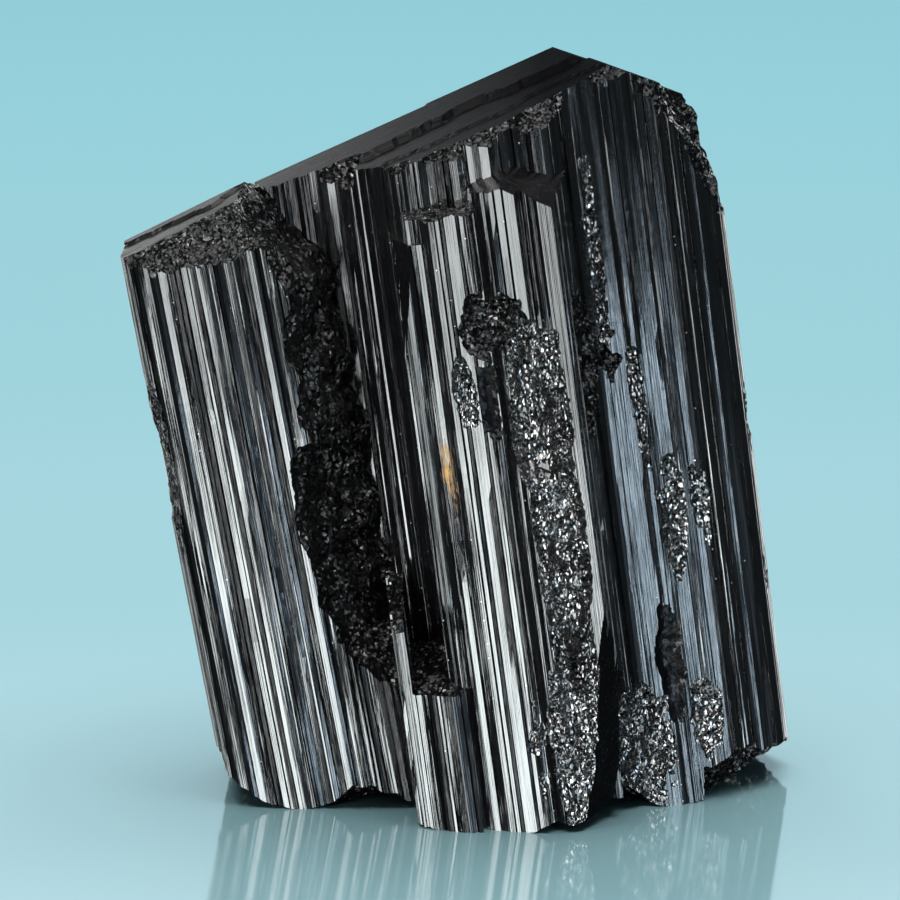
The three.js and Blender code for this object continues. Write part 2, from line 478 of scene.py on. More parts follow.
@dataclass
class Column:
    """A striated prism of schorl with the faces and breaks that end it.

    Attributes:
        name: what the column is called.
        sides: its plan at table level, counterclockwise from the left front.
        lean: how far its growth axis tips to the left, degrees.
        surface: which prism finish it has.
        seed: where its random striae start.
        root: its lower end along its axis, mm.
        top: its upper end along its axis before it is cut, mm.
        row: height of one row of facets, mm.
        ends: growth faces that cut it off.
        breaks: pieces broken off it.
    """

    name: str
    sides: list[PrismSide]
    lean: float
    surface: Surface
    seed: int
    root: float = -9.0
    top: float = 82.0
    row: float = 1.4
    ends: list[EndFace] = field(default_factory=list)
    breaks: list[Break] = field(default_factory=list)

    def _chips(self, deepest: float, rng: random.Random) -> tuple[tuple[float, float, float], ...]:
        """Picks the stretches over which one rib is chipped away.

        Args:
            deepest: the deepest chip, mm.
            rng: the column's random numbers.

        Returns:
            The stretches, each as low and high along the axis and extra depth, mm.
        """
        chips = []
        while rng.random() < HABIT.chipped:
            low = rng.uniform(self.root, self.top)
            reach = rng.choice(HABIT.chip_lengths) * rng.uniform(*HABIT.chip_spread)
            chips.append((low, low + reach, deepest * rng.uniform(*HABIT.chip_depths)))
        return tuple(chips)

    def _striae(self, length: float, striation: Striation, rng: random.Random) -> list[Stria]:
        """Lays out the ribs and grooves of one side.

        Args:
            length: the side's length, mm.
            striation: how the side is striated.
            rng: the column's random numbers.

        Returns:
            The striae in order, without the column's own corners.
        """
        striae: list[Stria] = []
        narrowest, widest = HABIT.widths
        at, depth = 0.0, 0.0
        while True:
            width = striation.rib * min(widest, max(narrowest, rng.lognormvariate(0.0, HABIT.spread)))
            gap = striation.gap * rng.uniform(*HABIT.gaps)
            if at + width + gap > length - HABIT.margin:
                return striae
            chips = self._chips(HABIT.chip_depth * striation.groove, rng)
            after = depth + width * striation.tilt * rng.uniform(-1.0, 1.0)
            after = min(HABIT.edges * striation.groove, max(0.0, after))
            if striae:
                striae[-1].chips = chips
            if width > HABIT.wide:
                crown = max(0.0, 0.5 * (depth + after) - HABIT.crown * width)
                middle = at + width * rng.uniform(*HABIT.crowns)
                striae.append(Stria(middle, crown, HABIT.crown_sway * width, chips))
            striae.append(Stria(at + width, after, HABIT.edge_sway * width, chips))
            depth = striation.groove * rng.uniform(*HABIT.starts)
            if rng.random() < striation.seam:
                bottom = max(after, depth) + striation.groove * rng.uniform(*HABIT.bottoms)
                striae.append(Stria(at + width + 0.5 * gap, bottom))
            at += width + gap
            striae.append(Stria(at, depth, HABIT.edge_sway * width))

    def prism(self) -> bpy.types.Object:
        """Makes the striated prism, tipped over to its growth axis.

        Returns:
            The prism.
        """
        rng = random.Random(self.seed)
        bm = bmesh.new()
        corners = [bm.verts.new((side.x, side.y, self.root)) for side in self.sides]
        cap = bm.faces.new(corners)
        ring: list[RingPoint] = []
        row: list[bmesh.types.BMVert] = []
        for number, side in enumerate(self.sides):
            after = (number + 1) % len(self.sides)
            start = Vector((side.x, side.y, 0.0))
            across = Vector((self.sides[after].x, self.sides[after].y, 0.0)) - start
            run = across.normalized()
            inward = Vector((-across.y, across.x, 0.0)).normalized()
            ring.append(RingPoint(start, run, inward, Stria(0.0, 0.0)))
            row.append(corners[number])
            for stria in self._striae(across.length, side.striation, rng):
                edge = bm.edges.get((row[-1], corners[after]))
                row.append(bmesh.utils.edge_split(edge, row[-1], 0.5)[1])
                ring.append(RingPoint(start + run * stria.along, run, inward, stria))
        self._shape_row(row, ring, self.root)
        for number in range(1, round((self.top - self.root) / self.row) + 1):
            made = bmesh.ops.extrude_face_region(bm, geom=[cap, *cap.edges])["geom"]
            cap = next(part for part in made if isinstance(part, bmesh.types.BMFace))
            copies = {vert.co.to_tuple(4): vert for vert in cap.verts}
            row = [copies[vert.co.to_tuple(4)] for vert in row]
            jitter = rng.uniform(-HABIT.row_jitter, HABIT.row_jitter)
            self._shape_row(row, ring, self.root + self.row * (number + jitter))
        bm.transform(Matrix.Rotation(math.radians(-self.lean), 4, "Y"))
        return shaped(self.name, bm, self.surface)

    def _shape_row(self, verts: list[bmesh.types.BMVert], ring: list[RingPoint], height: float) -> None:
        """Moves one row of corners to where the striae are at that height.

        Args:
            verts: the row's vertices, in plan order.
            ring: where the stria of each vertex stands.
            height: the row's height along the growth axis, mm.
        """
        for number, (vert, point) in enumerate(zip(verts, ring)):
            stria = point.stria
            waver = noise.noise(Vector((WAVER_STEP * number, height / HABIT.waver_length, self.seed)))
            stray_at = Vector((STRAY_STEP * number, height / HABIT.sway_length, self.seed + STRAY_SHIFT))
            depth = stria.depth + (HABIT.waver * waver if stria.sway else 0.0)
            for low, high, extra in stria.chips:
                if low < height < high:
                    depth += extra * min(1.0, (height - low) / HABIT.chip_run)
            spot = point.place + point.inward * depth + point.run * (stria.sway * noise.noise(stray_at))
            vert.co = (spot.x, spot.y, height)

    def build(self) -> bpy.types.Object:
        """Makes the column with its ends and breaks cut.

        Returns:
            The column.
        """
        column = self.prism()
        for cut in (*self.ends, *self.breaks):
            combine(column, cut.tool(), Operation.CUT)
        return column


def sides(*runs: tuple[Striation, list[tuple[float, float]]]) -> list[PrismSide]:
    """Lists a plan's corners.

    Args:
        runs: each striation with the corners from which it runs.

    Returns:
        The sides, in order.
    """
    return [PrismSide(x, y, striation) for striation, corners in runs for x, y in corners]


PEAK = (13.4, 11.5, 74.6)

MAIN = Column(
    "main_column",
    sides(
        (SMOOTH, [(-12.3, 23.6)]),
        (FINE, [(-10.3, 23.75), (-9.9, 22.4)]),
        (BROAD, [(-7.9, 22.55), (-7.4, 21.2), (-5.7, 21.3), (-5.2, 19.9), (-3.9, 19.95)]),
        (FINE, [(-3.4, 18.8), (2.5, 9)]),
        (BROAD, [(5, 6.5), (8.6, 6.3), (12, 5.6)]),
        (FINE, [(17.5, 7)]),
        (SATIN, [(19.6, 10)]),
        (SHALLOW, [(22.4, 11.0), (25.4, 12.6), (28.3, 13.5), (31.2, 16.6), (33.4, 19)]),
        (REAR, [(34.1, 25), (28, 36), (14, 43.5), (-2, 43), (-12.5, 35)]),
    ),
    lean=MAIN_LEAN, surface=Surface.MAIN_PRISM, seed=11,
    ends=[
        EndFace(PEAK, 182, 24.4, (Plate(-10.5, 0.06, 0.75), Plate(-3.0, 0.12, 0.3))),
        EndFace(PEAK, 18.4, 20.8, (Plate(9.0, -0.1, 0.35),)),
        EndFace((-5, 31.5, 66.6), 130, 35, (Plate(-2.0, 0.1, 0.4),)),
    ],
    breaks=[Break((21.2, 22, 69.0), -8, 64, (30, 44, 14), swell=0.7, wave=4, splinter=0.9, seed=27)],
)

LEFT = Column(
    "left_column",
    sides(
        (FINE, [(-22.9, 14.5)]),
        (RIBBED, [(-21.9, 11), (-19.6, 9.9), (-16, 9.5), (-12.4, 9.6), (-9.8, 9.1), (-5.5, 9.5)]),
        (REAR, [(-2, 10.6), (-0.5, 20), (-6, 32), (-16, 34), (-22.8, 26)]),
    ),
    lean=LEFT_LEAN, surface=Surface.LEFT_PRISM, seed=12,
    ends=[
        EndFace((-22, 18, 60.8), 182, 26.4, (Plate(-1.0, 0.05, 0.35),)),
        EndFace((-22, 20.5, 60.8), 131, 37),
    ],
    breaks=[
        Break((-14.3, 14.7, 50), -27, 90, (66, 30, 14), lean=LEFT_LEAN, swell=1.5, wave=5.5, seed=21),
        Break((-11, 14.5, 23), -45, 70, (26, 18, 12), bowl=3.0, swell=1.1, wave=4, seed=22),
        Break((-26, 11.4, 56.6), -108, 47, (14, 34, 10), swell=1.1, wave=4.5, seed=23),
        Break((-32.2, 12.6, 55.2), 205, 62, (9, 14, 6), swell=0.6, seed=25),
        Break((-27.7, 13, 31), 195, 90, (27, 20, 6), lean=LEFT_LEAN - 3.4,
              bowl=1.3, swell=0.6, wave=4, seed=24),
        Break((-18.5, 20, 58.6), -14, 46, (16, 36, 12), swell=1.0, seed=26),
    ],
)

RIDGE = Column(
    "ridge_column",
    sides((FINE, [(2.4, 11), (3.0, 3.4), (5.2, 2.2), (7.4, 1.8), (9.1, 1.4), (10.2, 3), (10.4, 11)])),
    lean=MAIN_LEAN, surface=Surface.MAIN_PRISM, seed=13, top=70.0,
    breaks=[Break((-2, 4, 60.9), 190, 12, (18, 22, 14), swell=0.5, wave=2.5, seed=36)],
)

SPUR = Column(
    "spur_column",
    sides(
        (FINE, [(9, 11), (9.4, 3.4)]),
        (BROAD, [(11.2, 1.2)]),
        (FINE, [(13.6, 0.85), (13.9, 1.9), (14.7, 1.85), (15.0, 1.4)]),
        (SMOOTH, [(15.7, 1.15)]),
        (FINE, [(17.0, 0.92), (17.6, 3.2), (19.3, 11)]),
    ),
    lean=MAIN_LEAN, surface=Surface.MAIN_PRISM, seed=14,
    ends=[
        EndFace((4.4, 3, 64.4), 200, 24, surface=Surface.PARTING),
        EndFace((4.4, 3, 64.4), -45, 26, surface=Surface.PARTING),
    ],
    breaks=[
        Break((6.8, 3.5, 42), -82, 90, (22, 7.4, 9), lean=MAIN_LEAN, surface=Surface.HACKLY,
              bowl=2.6, swell=0.7, wave=3.0, splinter=1.3, grain=0.04, seed=31),
        Break((9.3, 3.0, 30), -82, 90, (18, 5.8, 9), lean=MAIN_LEAN, surface=Surface.HACKLY,
              bowl=1.9, swell=0.7, wave=2.5, splinter=1.0, grain=0.04, seed=33),
        Break((11.3, 3.4, 16), -82, 90, (34, 4.2, 9), lean=MAIN_LEAN, surface=Surface.HACKLY,
              bowl=1.8, swell=0.6, wave=2.5, splinter=1.2, grain=0.04, seed=38),
        Break((15.5, 5.6, 8), -35, 102, (40, 18, 12), lean=MAIN_LEAN, surface=Surface.PARTING,
              swell=0.1, grain=0.0, seed=32),
    ],
)

TOE = Column(
    "toe_column",
    sides((FINE, [(1.1, 14), (1.3, 3.9), (2.4, 3.1), (3.8, 2.6), (5.4, 2.2), (9, 5), (9, 14)])),
    lean=MAIN_LEAN, surface=Surface.MAIN_PRISM, seed=15, top=58.0,
    ends=[EndFace((-4.9, 4, 48), 200, 90)],
)

TOE_RIBS = (
    Column(
        "low_toe_rib",
        sides((FINE, [(-2.7, 14), (-2.5, 3.0), (-0.6, 2.3), (1.4, 1.7), (2.6, 2.0), (3.0, 14)])),
        lean=MAIN_LEAN, surface=Surface.MAIN_PRISM, seed=16, top=20.0,
        breaks=[Break((-2.6, 4, 14.2), 230, 16, (20, 20, 10), swell=0.8, wave=3, seed=34)],
    ),
    Column(
        "high_toe_rib",
        sides((FINE, [(-4.0, 14), (-3.7, 4.2), (-3.2, 3.4), (-2.5, 3.3), (-2.2, 14)])),
        lean=MAIN_LEAN, surface=Surface.MAIN_PRISM, seed=17, top=27.0,
        breaks=[Break((-5.6, 4, 20.4), 250, 18, (20, 20, 10), swell=0.8, wave=3, seed=35)],
    ),
)

CHIPS = (
    # Beside the recess in the spur.
    Break((3.1, 3.2, 50.0), -92, 84, (8.4, 8, 6), lean=MAIN_LEAN, bowl=2.6, swell=0.8, wave=2.0, seed=39),
    Break((7.3, 2.9, 44.0), -84, 88, (11, 5.6, 6), lean=MAIN_LEAN, surface=Surface.HACKLY,
          bowl=1.2, swell=0.7, wave=2.2, splinter=0.5, seed=40),
    Break((2.8, 3.0, 43.4), -78, 90, (6.4, 1.9, 6), lean=MAIN_LEAN, surface=Surface.PARTING,
          bowl=0.2, swell=0.05, wave=2.5, grain=0.0, seed=49),
    Break((4.7, 2.1, 42.2), -106, 90, (3.6, 1.7, 6), lean=MAIN_LEAN, surface=Surface.MAIN_PRISM,
          swell=0.02, wave=2.5, grain=0.0, seed=51),
    Break((0.9, 2.8, 43.4), -96, 88, (9, 2.4, 6), lean=MAIN_LEAN, surface=Surface.HACKLY,
          bowl=0.9, swell=0.4, wave=2.0, splinter=0.3, seed=50),
    Break((6.1, 2.6, 39.4), -86, 55, (2.2, 6, 6), bowl=0.9, swell=0.4, wave=2.0, seed=52),
    # Right of the spur, and under the front edge of the pyramid.
    Break((12.8, 9.9, 46.0), -55, 90, (17, 7.6, 6), lean=MAIN_LEAN, bowl=2.2, swell=0.8, wave=2.5, seed=41),
    Break((9.4, 8.8, 70.0), -100, 48, (8, 10, 7), bowl=1.8, swell=0.8, wave=2.5, seed=42),
    # Down the right-hand faces and along the foot.
    Break((28.2, 20.4, 50.5), -14, 90, (7, 8, 4), lean=MAIN_LEAN, surface=Surface.HACKLY,
          bowl=1.4, swell=0.6, wave=3.0, seed=43),
    Break((25.5, 24.0, 60.0), -4, 90, (7, 7, 4), lean=MAIN_LEAN, surface=Surface.HACKLY,
          bowl=1.2, swell=0.6, wave=2.0, seed=71),
    Break((28.6, 23.5, 37.0), -8, 90, (9, 6, 4), lean=MAIN_LEAN, surface=Surface.HACKLY,
          bowl=1.1, swell=0.6, wave=2.0, seed=72),
    Break((30.9, 22.5, 21.0), -10, 90, (6, 7, 4), lean=MAIN_LEAN, surface=Surface.HACKLY,
          bowl=1.2, swell=0.6, wave=2.0, seed=73),
    Break((18.8, 10.6, 4), -64, 86, (18, 8, 6), lean=MAIN_LEAN, surface=Surface.HACKLY,
          bowl=1.6, swell=0.6, wave=2.5, splinter=0.5, seed=44),
    Break((24.6, 13.6, 7.5), -68, 84, (10, 4, 4), lean=MAIN_LEAN, surface=Surface.HACKLY,
          bowl=1.2, swell=0.5, wave=2.0, splinter=0.4, seed=45),
    Break((20.9, 11.9, 14.5), -62, 90, (17, 4.4, 4), lean=MAIN_LEAN, surface=Surface.PARTING,
          bowl=1.2, swell=0.3, wave=2.0, grain=0.0, seed=75),
    Break((30.4, 17.2, 3.4), -52, 126, (9, 15, 6), bowl=0.3, swell=0.7, wave=3.0, seed=74),
    Break((20.9, 12.9, 29.6), -66, 90, (14, 3.4, 4), lean=MAIN_LEAN, surface=Surface.HACKLY,
          bowl=0.8, swell=0.4, wave=1.8, splinter=0.4, seed=46),
    Break((24.0, 14.0, 30.5), -70, 90, (10, 2.6, 4), lean=MAIN_LEAN, surface=Surface.HACKLY,
          bowl=0.7, swell=0.4, wave=1.8, splinter=0.4, seed=47),
    Break((17.6, 11.9, 41.0), -66, 90, (14, 2.0, 4), lean=MAIN_LEAN, surface=Surface.HACKLY,
          bowl=0.6, swell=0.3, wave=1.8, splinter=0.4, seed=53),
    Break((13.0, 10.9, 56.0), -68, 90, (26, 1.8, 4), lean=MAIN_LEAN, surface=Surface.HACKLY,
          bowl=0.7, swell=0.4, wave=1.8, splinter=0.4, seed=54),
    Break((10.6, 2.6, 6.6), -80, 86, (20, 9, 6), lean=MAIN_LEAN, surface=Surface.HACKLY,
          bowl=1.4, swell=0.8, wave=2.5, splinter=0.4, seed=48),
    # Along the rim under the pyramid faces.
    Break((-12.0, 20.0, 61.4), -100, 45, (4, 5, 4), bowl=1.1, swell=0.5, wave=2.0, seed=61),
    Break((-6.2, 10.4, 64.2), -120, 45, (5, 5, 4), bowl=1.2, swell=0.5, wave=2.0, seed=62),
    Break((-2.4, 7.7, 65.9), -92, 45, (4, 6, 4), bowl=1.1, swell=0.5, wave=2.0, seed=63),
    Break((1.4, 7.3, 67.5), -92, 45, (4, 5, 4), bowl=1.1, swell=0.5, wave=2.0, seed=64),
    Break((5.0, 7.2, 69.3), -90, 45, (5, 5, 4), bowl=1.2, swell=0.5, wave=2.0, seed=65),
    Break((14.6, 12.6, 72.9), -70, 45, (4, 6, 4), bowl=1.1, swell=0.5, wave=2.0, seed=66),
    Break((19.0, 14.3, 71.0), -62, 45, (4, 5, 4), bowl=1.1, swell=0.5, wave=2.0, seed=67),
    # At the back.
    Break((5.3, 42.2, 20.0), 91, 90, (22, 7, 5), lean=MAIN_LEAN, surface=Surface.HACKLY,
          bowl=1.6, swell=0.6, wave=2.5, splinter=0.5, seed=81),
    Break((14.6, 39.0, 46.0), 62, 90, (12, 6, 5), lean=MAIN_LEAN, bowl=1.4, swell=0.6, wave=2.5, seed=82),
    Break((-2.2, 42.4, 60.8), 95, 45, (5, 7, 4), bowl=1.2, swell=0.6, wave=2.0, seed=83),
    Break((6.0, 42.9, 64.3), 90, 45, (5, 6, 4), bowl=1.1, swell=0.5, wave=2.0, seed=84),
    Break((-22.0, 29.5, 18.0), 140, 90, (16, 5, 4), lean=LEFT_LEAN, surface=Surface.HACKLY,
          bowl=1.3, swell=0.6, wave=2.2, splinter=0.5, seed=85),
)


@dataclass(frozen=True)
class Swell:
    """A place where the broken base rises clear of the table or comes down to it.

    Attributes:
        x: its middle in plan, mm.
        y: its middle in plan, mm.
        reach: how far it reaches, mm.
        rise: how far it rises, or comes down where it is negative, mm.
    """

    x: float
    y: float
    reach: float
    rise: float


@dataclass(frozen=True)
class Foot:
    """The broken base of the stone, flat where it stands on the table.

    Attributes:
        height: mean height of the broken surface, mm.
        grain: how far a lump's corners stray up or down, mm.
        cell: size of a lump, mm.
        wave: height of the waves in the surface, mm.
        wave_length: length of those waves, mm.
        size: width and depth of what is cut away, mm.
        centre: its middle in plan, mm.
        room: how far it reaches below the table, mm.
        seed: where its random lumps start.
        swells: where the base stands on the table or is broken away higher.
    """

    height: float = 1.2
    grain: float = 0.4
    cell: float = 0.9
    wave: float = 0.5
    wave_length: float = 4.0
    size: tuple[float, float] = (88.0, 66.0)
    centre: tuple[float, float] = (4.0, 22.0)
    room: float = 30.0
    seed: int = 51
    swells: tuple[Swell, ...] = (
        Swell(2.6, 3.6, 6, -2.6), Swell(-15, 12.5, 5, -2.6), Swell(-11, 27, 5, -2.2),
        Swell(4, 22.5, 7, -2.4), Swell(6, 37, 6, -2.2), Swell(23, 25, 6, -2.2),
        Swell(-24.5, 15, 5.5, 4), Swell(35, 20, 6.5, 3.2), Swell(21.5, 12.5, 5, -1.6),
        Swell(-9.8, 9, 2.6, 2.2), Swell(16.5, 8, 3, 1.6),
    )

    def tool(self) -> bpy.types.Object:
        """Makes the solid that is cut away below the base.

        Returns:
            The solid.
        """
        rng = random.Random(self.seed)
        across, deep = self.size
        bm = bmesh.new()
        bmesh.ops.create_grid(
            bm, x_segments=round(across / self.cell), y_segments=round(deep / self.cell), size=0.5,
        )
        bmesh.ops.scale(bm, verts=bm.verts, vec=(across, deep, 1.0))
        bmesh.ops.translate(bm, verts=bm.verts, vec=(*self.centre, 0.0))
        for vert in bm.verts:
            height = self.height + self.grain * rng.uniform(-1.0, 1.0)
            height += self.wave * noise.noise(vert.co / self.wave_length)
            for swell in self.swells:
                distance = math.hypot(vert.co.x - swell.x, vert.co.y - swell.y) / swell.reach
                height += swell.rise * math.exp(-distance * distance)
            vert.co.z = max(0.0, height)
        bmesh.ops.translate(bm, verts=second_skin(bm), vec=(0.0, 0.0, -self.room))
        return shaped("below_base", bm, Surface.GRANULAR)


def linear(colour: str) -> tuple[float, float, float, float]:
    """Turns an sRGB hex colour to linear light.

    Args:
        colour: the colour, such as "#101214".

    Returns:
        Red, green, blue and alpha.
    """
    parts = [int(colour[i:i + 2], 16) / 255 for i in (1, 3, 5)]
    red, green, blue = (p / 12.92 if p <= 0.04045 else ((p + 0.055) / 1.055) ** 2.4 for p in parts)
    return (red, green, blue, 1.0)


def add(
    tree: bpy.types.NodeTree, kind: str, settings: dict[str, object] | None = None,
    inputs: dict[str | int, object] | None = None,
) -> bpy.types.Node:
    """Adds a node with its settings, values and links.

    Args:
        tree: the material's node tree.
        kind: the node's type, without the ShaderNode prefix.
        settings: properties of the node.
        inputs: for each input socket a value, or the output socket that is linked to it.

    Returns:
        The node.
    """
    node = tree.nodes.new("ShaderNode" + kind)
    for name, value in (settings or {}).items():
        setattr(node, name, value)
    for name, value in (inputs or {}).items():
        if isinstance(value, bpy.types.NodeSocket):
            tree.links.new(value, node.inputs[name])
        else:
            node.inputs[name].default_value = value
    return node


# The Mix node's sockets: what it mixes as numbers, what it mixes as colours, and the mixed colour.
NUMBER_A, NUMBER_B = 2, 3
COLOUR_A, COLOUR_B = 6, 7
COLOUR_MIX = 2


def started(name: str) -> tuple[bpy.types.Material, bpy.types.NodeTree, bpy.types.Node]:
    """Starts a material.

    Args:
        name: the material's name.

    Returns:
        The material, its node tree and its shader.
    """
    material = bpy.data.materials.new(name)
    material.use_nodes = True
    return material, material.node_tree, material.node_tree.nodes["Principled BSDF"]


# Schorl is an opaque black borosilicate with a glassy lustre: what the eye sees is all on its surface.
SCHORL_IOR = 1.64


@dataclass(frozen=True)
class PrismFinish:
    """Natural prism faces of schorl: glassy, lined along the growth axis, with rusty seams and pale dust.

    Attributes:
        name: the material's name.
        lean: how far the growth axis tips to the left, degrees.
        colour: the stone.
        rust: the darkest of the rusty film in seams.
        ochre: the palest of that film.
        dust: the pale specks that lie on it.
        line: width of the finest growth line, mm. The real ones are finer, and these are as coarse as shows.
        line_length: how far such a line runs, mm.
        line_relief: depth of such a line, mm.
        band: width of one satin or bright band, mm.
        band_length: how far such a band runs, mm.
        bright: roughness of a bright band.
        satin: roughness of a satin band.
        wisps_across: how many wisps of rust lie across one growth line.
        wisps_along: how many follow each other along it.
        film: roughness of the rusty film.
        speck: distance between the places where a speck may lie, mm.
        speck_radius: radius of a speck, as a share of that distance.
        bare: share of those places that have no speck.
    """

    name: str
    lean: float
    colour: str = "#060607"
    rust: str = "#33200f"
    ochre: str = "#a07a40"
    dust: str = "#b9bdb8"
    line: float = 0.17
    line_length: float = 22.0
    line_relief: float = 0.065
    band: float = 0.6
    band_length: float = 13.75
    bright: float = 0.04
    satin: float = 0.15
    wisps_across: float = 0.6
    wisps_along: float = 12.0
    film: float = 0.55
    speck: float = 0.55
    speck_radius: float = 0.11
    bare: float = 0.86

    def material(self) -> bpy.types.Material:
        """Makes the material, with its growth lines along the axis.

        Returns:
            The material.
        """
        material, tree, shader = started(self.name)
        place = add(tree, "TexCoord").outputs["Object"]
        turn = Euler((0.0, math.radians(self.lean), 0.0))
        upright = add(tree, "Mapping", inputs={"Vector": place, "Rotation": turn}).outputs[0]
        rust, hue = self._rust(tree, upright)
        colour = add(tree, "Mix", {"data_type": "RGBA"}, {
            "Factor": rust, COLOUR_A: linear(self.colour), COLOUR_B: hue,
        })
        dusted = add(tree, "Mix", {"data_type": "RGBA"}, {
            "Factor": self._specks(tree, upright),
            COLOUR_A: colour.outputs[COLOUR_MIX], COLOUR_B: linear(self.dust),
        })
        wide = 1.0 / (self.band * MM)
        long = 1.0 / (self.band_length * MM)
        bands = add(tree, "Mapping", inputs={"Vector": upright, "Scale": (wide, wide, long)}).outputs[0]
        satin = add(tree, "TexNoise", inputs={"Vector": bands, "Scale": 1.0, "Detail": 2.0})
        rough = add(tree, "MapRange", inputs={
            "Value": satin.outputs[0], "From Min": 0.35, "From Max": 0.68,
            "To Min": self.bright, "To Max": self.satin,
        })
        duller = add(tree, "Mix", {"data_type": "FLOAT"}, {
            "Factor": rust, NUMBER_A: rough.outputs[0], NUMBER_B: self.film,
        })
        thin = 1.0 / (self.line * MM)
        along = 1.0 / (self.line_length * MM)
        lines = add(tree, "Mapping", inputs={"Vector": upright, "Scale": (thin, thin, along)}).outputs[0]
        fine = add(tree, "TexNoise", inputs={"Vector": lines, "Scale": 1.0, "Detail": 3.0, "Roughness": 0.6})
        groove = add(tree, "Bump", inputs={
            "Height": fine.outputs[0], "Strength": 0.4, "Distance": self.line_relief * MM,
        })
        tree.links.new(dusted.outputs[COLOUR_MIX], shader.inputs["Base Color"])
        tree.links.new(duller.outputs[0], shader.inputs["Roughness"])
        tree.links.new(groove.outputs[0], shader.inputs["Normal"])
        shader.inputs["IOR"].default_value = SCHORL_IOR
        return material

    def _rust(
        self, tree: bpy.types.NodeTree, upright: bpy.types.NodeSocket,
    ) -> tuple[bpy.types.NodeSocket, bpy.types.NodeSocket]:
        """Draws the rusty film in wisps where the stone is stained.

        Args:
            tree: the material's node tree.
            upright: places turned so that the growth axis is upright.

        Returns:
            Where the film lies, and its colour.
        """
        thin = self.wisps_across / (self.line * MM)
        along = self.wisps_along / (self.line_length * MM)
        drawn_out = add(tree, "Mapping", inputs={"Vector": upright, "Scale": (thin, thin, along)}).outputs[0]
        wisps = add(tree, "TexNoise", inputs={
            "Vector": drawn_out, "Scale": 1.0, "Detail": 4.0, "Roughness": 0.65,
        })
        stain = add(tree, "Attribute", {"attribute_name": STAIN}).outputs["Fac"]
        film = add(tree, "Math", {"operation": "ADD"}, {0: stain, 1: wisps.outputs[0]}).outputs[0]
        edge = add(tree, "MapRange", inputs={
            "Value": film, "From Min": 0.78, "From Max": 1.0, "To Min": 0.0, "To Max": 1.0,
        })
        stained = add(tree, "Math", {"operation": "GREATER_THAN"}, {0: stain, 1: 0.01})
        where = add(tree, "Math", {"operation": "MULTIPLY"}, {0: edge.outputs[0], 1: stained.outputs[0]})
        thick = add(tree, "MapRange", inputs={
            "Value": film, "From Min": 0.82, "From Max": 1.06, "To Min": 0.0, "To Max": 1.0,
        })
        hue = add(tree, "Mix", {"data_type": "RGBA"}, {
            "Factor": thick.outputs[0], COLOUR_A: linear(self.rust), COLOUR_B: linear(self.ochre),
        })
        return where.outputs[0], hue.outputs[COLOUR_MIX]

    def _specks(self, tree: bpy.types.NodeTree, upright: bpy.types.NodeSocket) -> bpy.types.NodeSocket:
        """Scatters a few round specks.

        Args:
            tree: the material's node tree.
            upright: places turned so that the growth axis is upright.

        Returns:
            Where a speck lies.
        """
        spots = add(tree, "TexVoronoi", inputs={"Vector": upright, "Scale": 1.0 / (self.speck * MM)})
        near = add(tree, "Math", {"operation": "LESS_THAN"}, {
            0: spots.outputs["Distance"], 1: self.speck_radius,
        })
        few = add(tree, "Math", {"operation": "GREATER_THAN"}, {0: spots.outputs["Color"], 1: self.bare})
        specks = add(tree, "Math", {"operation": "MULTIPLY"}, {0: near.outputs[0], 1: few.outputs[0]})
        return specks.outputs[0]


@dataclass(frozen=True)
class SmoothFinish:
    """Pyramid and parting faces of schorl: smooth, satin black, with hairlines that run one way.

    Attributes:
        name: the material's name.
        colour: the stone.
        hairline: distance between hairlines, mm.
        slant: the way the hairlines run, degrees about the line of sight.
        relief: depth of a hairline, mm.
        smooth: roughness of the shiniest patches.
        dull: roughness of the dullest patches.
        gloss: strength of its lustre, 0.5 for a clean glassy face.
        fade: share of the lustre that is left at the right of the stone, as painted shade on that side.
        fading: where the lustre starts and stops fading, mm to the right of the stone's middle.
        stretch: how much longer a hairline is than it is wide.
    """

    name: str
    colour: str
    hairline: float
    slant: float
    relief: float
    smooth: float
    dull: float
    gloss: float
    fade: float = 1.0
    fading: tuple[float, float] = (-20.0, 8.0)
    stretch: float = 14.0

    def material(self) -> bpy.types.Material:
        """Makes the material of a smooth face.

        Returns:
            The material.
        """
        material, tree, shader = started(self.name)
        place = add(tree, "TexCoord").outputs["Object"]
        across = 1.0 / (self.hairline * MM)
        turn = Euler((0.0, math.radians(self.slant), 0.0))
        aligned = add(tree, "Mapping", inputs={"Vector": place, "Rotation": turn}).outputs[0]
        drawn_out = add(tree, "Mapping", inputs={
            "Vector": aligned, "Scale": (across / self.stretch, across, across),
        }).outputs[0]
        lines = add(tree, "TexNoise", inputs={
            "Vector": drawn_out, "Scale": 1.0, "Detail": 3.0, "Roughness": 0.6,
        })
        rough = add(tree, "MapRange", inputs={
            "Value": lines.outputs[0], "From Min": 0.3, "From Max": 0.7,
            "To Min": self.smooth, "To Max": self.dull,
        })
        hairlines = add(tree, "Bump", inputs={
            "Height": lines.outputs[0], "Strength": 0.5, "Distance": self.relief * MM,
        })
        shader.inputs["Base Color"].default_value = linear(self.colour)
        shader.inputs["IOR"].default_value = SCHORL_IOR
        shader.inputs["Specular IOR Level"].default_value = self.gloss
        # Painted shade: the lustre fades with the place across the stone, so its right side reflects less.
        if self.fade < 1.0:
            start, stop = self.fading
            lustre = add(tree, "MapRange", inputs={
                "Value": add(tree, "SeparateXYZ", inputs={0: place}).outputs["X"],
                "From Min": start * MM, "From Max": stop * MM,
                "To Min": self.gloss, "To Max": self.fade * self.gloss,
            })
            tree.links.new(lustre.outputs[0], shader.inputs["Specular IOR Level"])
        tree.links.new(rough.outputs[0], shader.inputs["Roughness"])
        tree.links.new(hairlines.outputs[0], shader.inputs["Normal"])
        return material


